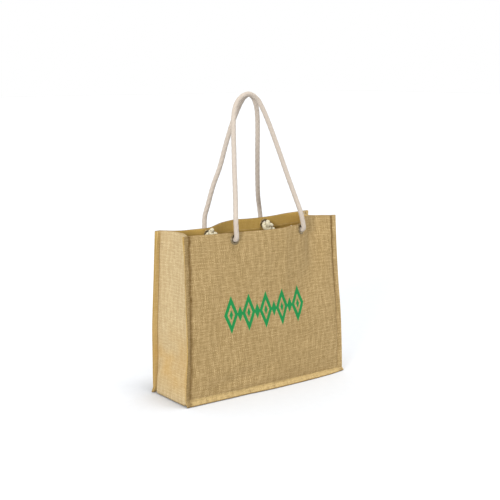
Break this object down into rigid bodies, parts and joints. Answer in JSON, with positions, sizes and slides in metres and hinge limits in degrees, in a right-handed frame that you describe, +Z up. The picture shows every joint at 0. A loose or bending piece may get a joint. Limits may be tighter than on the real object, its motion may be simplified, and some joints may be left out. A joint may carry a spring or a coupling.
{
  "type": "jute tote bag",
  "caption": "Open-topped jute shopping bag with a gusset strip round its sides and base, metal eyelets and knotted cotton rope handles.",
  "frame": {"origin": "on the floor, under the middle of the cloth", "axes": "+Z up, +X along the bag's width to the right as seen from the front, front panel faces -Y"},
  "size_m": [0.4044, 0.1426, 0.5842],
  "materials": {
    "jute_panel": "plain woven natural jute, matt",
    "jute_gusset": "plain woven natural jute, matt, a little paler",
    "cotton_rope": "laid cotton rope, off-white, matt",
    "eyelet_metal": "pressed nickel-plated steel, worn satin"
  },
  "bodies": {
    "root": {"front_panel": "jute_panel", "back_panel": "jute_panel", "gusset_strip": "jute_gusset", "handle_front": "cotton_rope", "handle_back": "cotton_rope", "eyelet_front_left": "eyelet_metal", "eyelet_front_right": "eyelet_metal", "eyelet_back_left": "eyelet_metal", "eyelet_back_right": "eyelet_metal", "knot_front_left": "cotton_rope", "knot_front_right": "cotton_rope", "knot_back_left": "cotton_rope", "knot_back_right": "cotton_rope"}
  },
  "joints": []
}
